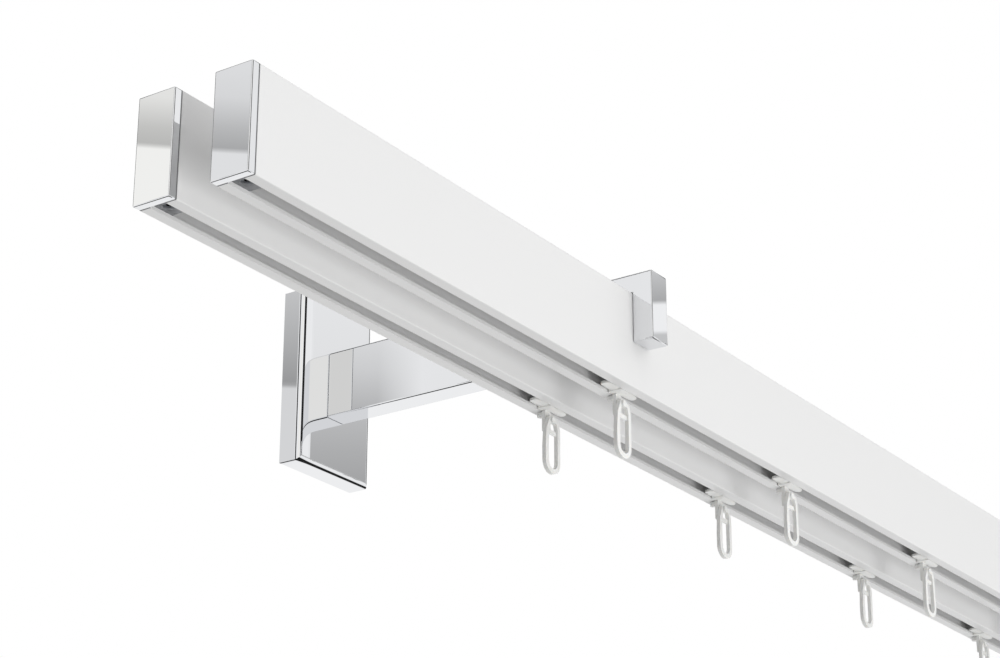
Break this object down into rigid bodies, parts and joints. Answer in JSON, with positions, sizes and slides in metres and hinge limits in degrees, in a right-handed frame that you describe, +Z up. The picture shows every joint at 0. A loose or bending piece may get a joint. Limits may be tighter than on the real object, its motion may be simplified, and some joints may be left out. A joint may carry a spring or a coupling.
{
  "type": "double curtain rod",
  "caption": "Double curtain rod: two slim rectangular profiles with inside runners and pleat hooks, carried by notched chrome brackets on square wall plates.",
  "frame": {"origin": "middle of the four wall screw holes, on the wall plane, at the height of the arms' middle", "axes": "+X along the rod to the right as seen from the room, +Y into the wall, +Z up"},
  "size_m": [1.206, 0.15, 0.086],
  "materials": {
    "rail_coat": "gloss",
    "chrome": "polished",
    "zinc_steel": "satin",
    "runner_plastic": "gloss"
  },
  "bodies": {
    "rod": {"rail_front": "rail_coat", "rail_rear": "rail_coat", "cap_front_left": "chrome", "cap_front_right": "chrome", "cap_rear_left": "chrome", "cap_rear_right": "chrome", "cap_grub_screws": "zinc_steel", "arm_left": "chrome", "arm_right": "chrome", "cover_plate_left": "chrome", "cover_plate_right": "chrome", "wall_mount_left": "zinc_steel", "wall_mount_right": "zinc_steel", "plate_grub_screws": "zinc_steel", "arm_screws_left": "zinc_steel", "arm_screws_right": "zinc_steel", "clamp_screws_left": "zinc_steel", "clamp_screws_right": "zinc_steel", "clamp_nuts_left": "zinc_steel", "clamp_nuts_right": "zinc_steel"},
    "glider_front_1": {"glider_front_1": "runner_plastic"},
    "hook_front_1": {"hook_front_1": "runner_plastic"},
    "glider_front_2": {"glider_front_2": "runner_plastic"},
    "hook_front_2": {"hook_front_2": "runner_plastic"},
    "glider_front_3": {"glider_front_3": "runner_plastic"},
    "hook_front_3": {"hook_front_3": "runner_plastic"},
    "glider_front_4": {"glider_front_4": "runner_plastic"},
    "hook_front_4": {"hook_front_4": "runner_plastic"},
    "glider_front_5": {"glider_front_5": "runner_plastic"},
    "hook_front_5": {"hook_front_5": "runner_plastic"},
    "glider_front_6": {"glider_front_6": "runner_plastic"},
    "hook_front_6": {"hook_front_6": "runner_plastic"},
    "glider_front_7": {"glider_front_7": "runner_plastic"},
    "hook_front_7": {"hook_front_7": "runner_plastic"},
    "glider_front_8": {"glider_front_8": "runner_plastic"},
    "hook_front_8": {"hook_front_8": "runner_plastic"},
    "glider_rear_1": {"glider_rear_1": "runner_plastic"},
    "hook_rear_1": {"hook_rear_1": "runner_plastic"},
    "glider_rear_2": {"glider_rear_2": "runner_plastic"},
    "hook_rear_2": {"hook_rear_2": "runner_plastic"},
    "glider_rear_3": {"glider_rear_3": "runner_plastic"},
    "hook_rear_3": {"hook_rear_3": "runner_plastic"},
    "glider_rear_4": {"glider_rear_4": "runner_plastic"},
    "hook_rear_4": {"hook_rear_4": "runner_plastic"},
    "glider_rear_5": {"glider_rear_5": "runner_plastic"},
    "hook_rear_5": {"hook_rear_5": "runner_plastic"},
    "glider_rear_6": {"glider_rear_6": "runner_plastic"},
    "hook_rear_6": {"hook_rear_6": "runner_plastic"},
    "glider_rear_7": {"glider_rear_7": "runner_plastic"},
    "hook_rear_7": {"hook_rear_7": "runner_plastic"},
    "glider_rear_8": {"glider_rear_8": "runner_plastic"},
    "hook_rear_8": {"hook_rear_8": "runner_plastic"}
  },
  "joints": [
    {"name": "slide_front_1", "type": "slide", "parent": "rod", "child": "glider_front_1", "axis": [1, 0, 0], "range_m": [-0.182, 0.1]},
    {"name": "swing_front_1", "type": "hinge", "parent": "glider_front_1", "child": "hook_front_1", "pos_m": [-0.396, -0.135, -0.033], "axis": [0, 1, 0], "range_deg": [-45, 45]},
    {"name": "slide_front_2", "type": "slide", "parent": "rod", "child": "glider_front_2", "axis": [1, 0, 0], "range_m": [-0.1, 0.1]},
    {"name": "swing_front_2", "type": "hinge", "parent": "glider_front_2", "child": "hook_front_2", "pos_m": [-0.2749, -0.135, -0.033], "axis": [0, 1, 0], "range_deg": [-45, 45]},
    {"name": "slide_front_3", "type": "slide", "parent": "rod", "child": "glider_front_3", "axis": [1, 0, 0], "range_m": [-0.1, 0.1]},
    {"name": "swing_front_3", "type": "hinge", "parent": "glider_front_3", "child": "hook_front_3", "pos_m": [-0.1538, -0.135, -0.033], "axis": [0, 1, 0], "range_deg": [-45, 45]},
    {"name": "slide_front_4", "type": "slide", "parent": "rod", "child": "glider_front_4", "axis": [1, 0, 0], "range_m": [-0.1, 0.1]},
    {"name": "swing_front_4", "type": "hinge", "parent": "glider_front_4", "child": "hook_front_4", "pos_m": [-0.0327, -0.135, -0.033], "axis": [0, 1, 0], "range_deg": [-45, 45]},
    {"name": "slide_front_5", "type": "slide", "parent": "rod", "child": "glider_front_5", "axis": [1, 0, 0], "range_m": [-0.1, 0.1]},
    {"name": "swing_front_5", "type": "hinge", "parent": "glider_front_5", "child": "hook_front_5", "pos_m": [0.0884, -0.135, -0.033], "axis": [0, 1, 0], "range_deg": [-45, 45]},
    {"name": "slide_front_6", "type": "slide", "parent": "rod", "child": "glider_front_6", "axis": [1, 0, 0], "range_m": [-0.1, 0.1]},
    {"name": "swing_front_6", "type": "hinge", "parent": "glider_front_6", "child": "hook_front_6", "pos_m": [0.2095, -0.135, -0.033], "axis": [0, 1, 0], "range_deg": [-45, 45]},
    {"name": "slide_front_7", "type": "slide", "parent": "rod", "child": "glider_front_7", "axis": [1, 0, 0], "range_m": [-0.1, 0.1]},
    {"name": "swing_front_7", "type": "hinge", "parent": "glider_front_7", "child": "hook_front_7", "pos_m": [0.3306, -0.135, -0.033], "axis": [0, 1, 0], "range_deg": [-45, 45]},
    {"name": "slide_front_8", "type": "slide", "parent": "rod", "child": "glider_front_8", "axis": [1, 0, 0], "range_m": [-0.1, 0.129]},
    {"name": "swing_front_8", "type": "hinge", "parent": "glider_front_8", "child": "hook_front_8", "pos_m": [0.4517, -0.135, -0.033], "axis": [0, 1, 0], "range_deg": [-45, 45]},
    {"name": "slide_rear_1", "type": "slide", "parent": "rod", "child": "glider_rear_1", "axis": [1, 0, 0], "range_m": [-0.182, 0.1]},
    {"name": "swing_rear_1", "type": "hinge", "parent": "glider_rear_1", "child": "hook_rear_1", "pos_m": [-0.396, -0.106, -0.033], "axis": [0, 1, 0], "range_deg": [-45, 45]},
    {"name": "slide_rear_2", "type": "slide", "parent": "rod", "child": "glider_rear_2", "axis": [1, 0, 0], "range_m": [-0.1, 0.1]},
    {"name": "swing_rear_2", "type": "hinge", "parent": "glider_rear_2", "child": "hook_rear_2", "pos_m": [-0.2749, -0.106, -0.033], "axis": [0, 1, 0], "range_deg": [-45, 45]},
    {"name": "slide_rear_3", "type": "slide", "parent": "rod", "child": "glider_rear_3", "axis": [1, 0, 0], "range_m": [-0.1, 0.1]},
    {"name": "swing_rear_3", "type": "hinge", "parent": "glider_rear_3", "child": "hook_rear_3", "pos_m": [-0.1538, -0.106, -0.033], "axis": [0, 1, 0], "range_deg": [-45, 45]},
    {"name": "slide_rear_4", "type": "slide", "parent": "rod", "child": "glider_rear_4", "axis": [1, 0, 0], "range_m": [-0.1, 0.1]},
    {"name": "swing_rear_4", "type": "hinge", "parent": "glider_rear_4", "child": "hook_rear_4", "pos_m": [-0.0327, -0.106, -0.033], "axis": [0, 1, 0], "range_deg": [-45, 45]},
    {"name": "slide_rear_5", "type": "slide", "parent": "rod", "child": "glider_rear_5", "axis": [1, 0, 0], "range_m": [-0.1, 0.1]},
    {"name": "swing_rear_5", "type": "hinge", "parent": "glider_rear_5", "child": "hook_rear_5", "pos_m": [0.0884, -0.106, -0.033], "axis": [0, 1, 0], "range_deg": [-45, 45]},
    {"name": "slide_rear_6", "type": "slide", "parent": "rod", "child": "glider_rear_6", "axis": [1, 0, 0], "range_m": [-0.1, 0.1]},
    {"name": "swing_rear_6", "type": "hinge", "parent": "glider_rear_6", "child": "hook_rear_6", "pos_m": [0.2095, -0.106, -0.033], "axis": [0, 1, 0], "range_deg": [-45, 45]},
    {"name": "slide_rear_7", "type": "slide", "parent": "rod", "child": "glider_rear_7", "axis": [1, 0, 0], "range_m": [-0.1, 0.1]},
    {"name": "swing_rear_7", "type": "hinge", "parent": "glider_rear_7", "child": "hook_rear_7", "pos_m": [0.3306, -0.106, -0.033], "axis": [0, 1, 0], "range_deg": [-45, 45]},
    {"name": "slide_rear_8", "type": "slide", "parent": "rod", "child": "glider_rear_8", "axis": [1, 0, 0], "range_m": [-0.1, 0.129]},
    {"name": "swing_rear_8", "type": "hinge", "parent": "glider_rear_8", "child": "hook_rear_8", "pos_m": [0.4517, -0.106, -0.033], "axis": [0, 1, 0], "range_deg": [-45, 45]}
  ]
}
